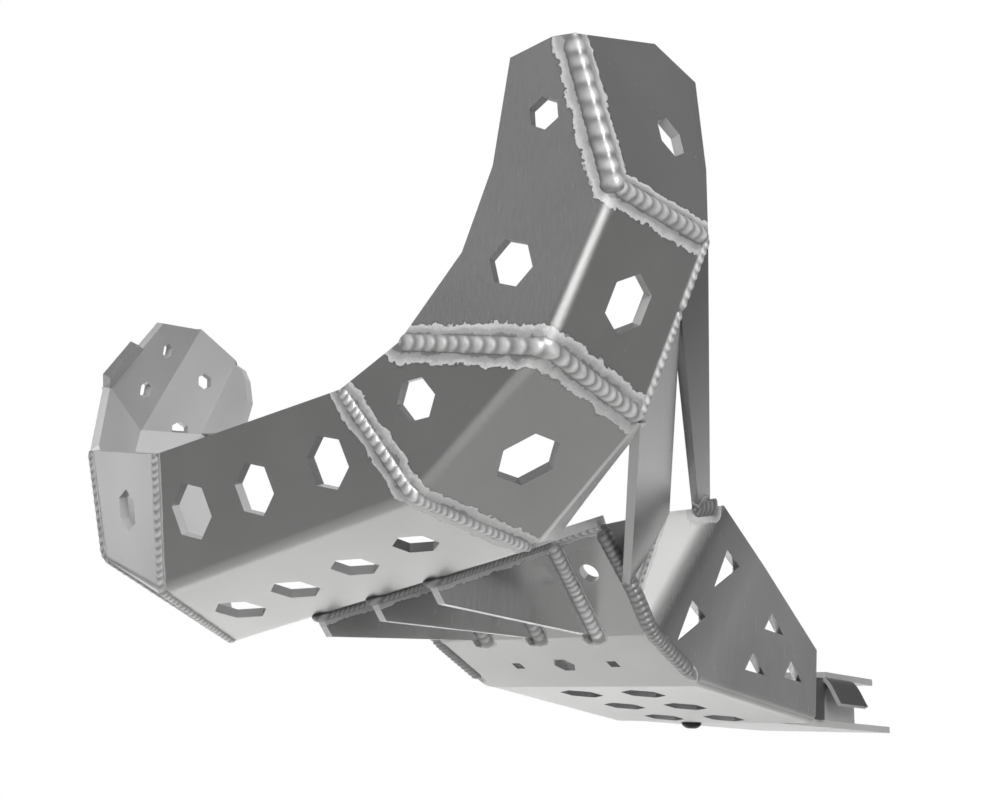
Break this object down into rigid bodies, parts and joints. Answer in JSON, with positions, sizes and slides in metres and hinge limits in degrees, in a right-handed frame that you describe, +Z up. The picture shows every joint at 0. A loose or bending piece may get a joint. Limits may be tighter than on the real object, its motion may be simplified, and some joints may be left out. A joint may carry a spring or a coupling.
{
  "type": "motorcycle skid plate",
  "caption": "Folded and welded aluminium skid plate for a motorcycle engine, with a channel guard in front that shields the exhaust pipe.",
  "frame": {"origin": "middle of the pan's front fold, on the underside of the base", "axes": "+X to the motorcycle's right, +Y forward, +Z up"},
  "size_m": [0.4141, 0.6717, 0.2679],
  "materials": {
    "aluminium_sheet": "mill finish, lightly brushed",
    "weld_metal": "rippled weld bead",
    "black_bolt": "black oxide",
    "plain_nut": "plain",
    "dark_clip": "dark grey"
  },
  "bodies": {
    "root": {"base_bolt": "black_bolt", "base_nut": "plain_nut", "corner_plate_left": "aluminium_sheet", "guard_corner_channel": "aluminium_sheet", "guard_end_channel": "aluminium_sheet", "guard_end_tab": "aluminium_sheet", "guard_lower_channel": "aluminium_sheet", "guard_middle_channel": "aluminium_sheet", "guard_riser_channel": "aluminium_sheet", "guard_side_plate": "aluminium_sheet", "guard_upper_channel": "aluminium_sheet", "gusset_centre": "aluminium_sheet", "gusset_left": "aluminium_sheet", "gusset_right": "aluminium_sheet", "rear_cheek_left": "aluminium_sheet", "rear_cheek_right": "aluminium_sheet", "rear_flange": "aluminium_sheet", "rear_hook": "dark_clip", "skid_pan": "aluminium_sheet", "strut_front": "aluminium_sheet", "strut_rear": "aluminium_sheet", "weld_corner_plate": "weld_metal", "weld_gusset_foot_centre": "weld_metal", "weld_gusset_foot_left": "weld_metal", "weld_gusset_foot_right": "weld_metal", "weld_gusset_top_centre": "weld_metal", "weld_gusset_top_left": "weld_metal", "weld_gusset_top_right": "weld_metal", "weld_mitre_corner": "weld_metal", "weld_mitre_end": "weld_metal", "weld_mitre_lower": "weld_metal", "weld_mitre_middle": "weld_metal", "weld_mitre_upper": "weld_metal", "weld_pan_top": "weld_metal", "weld_ridge": "weld_metal", "weld_side_plate": "weld_metal", "weld_strut_foot": "weld_metal", "weld_strut_front": "weld_metal", "weld_strut_rear": "weld_metal", "weld_tab_high": "weld_metal", "weld_tab_low": "weld_metal", "weld_wing_left": "weld_metal", "weld_wing_right": "weld_metal"}
  },
  "joints": []
}
